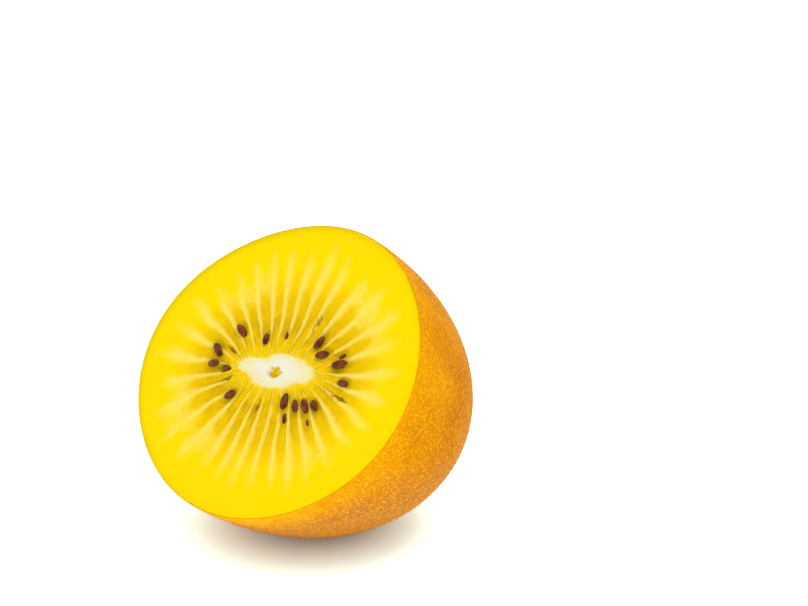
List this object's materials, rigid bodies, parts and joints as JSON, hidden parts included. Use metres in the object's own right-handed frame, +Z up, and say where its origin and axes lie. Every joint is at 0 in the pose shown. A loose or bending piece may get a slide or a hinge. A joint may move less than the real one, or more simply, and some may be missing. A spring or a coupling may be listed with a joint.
{
  "type": "halved golden kiwi fruit",
  "caption": "Golden kiwi fruit cut in half across its middle, lying on its skin with the yellow cut face leaning back.",
  "frame": {"origin": "centre of the small flat that the skin rests on, at the level of the surface under it", "axes": "+Z up; -Y is the side that the cut face looks to, leaning back so that its normal rises about 38 degrees above the level; +X along the wide way of the fruit"},
  "size_m": [0.054, 0.0443, 0.0463],
  "materials": {
    "skin": "thin golden-brown skin with fine pale dots and short down, satin",
    "flesh": "moist translucent yellow flesh with paler rays",
    "core": "dense cream-white fibrous core, barely moist",
    "seed": "small hard red-brown seeds with a wet shine",
    "scar": "dry corky scar at the closed end"
  },
  "bodies": {
    "root": {"kiwi_half": "skin"}
  },
  "joints": []
}
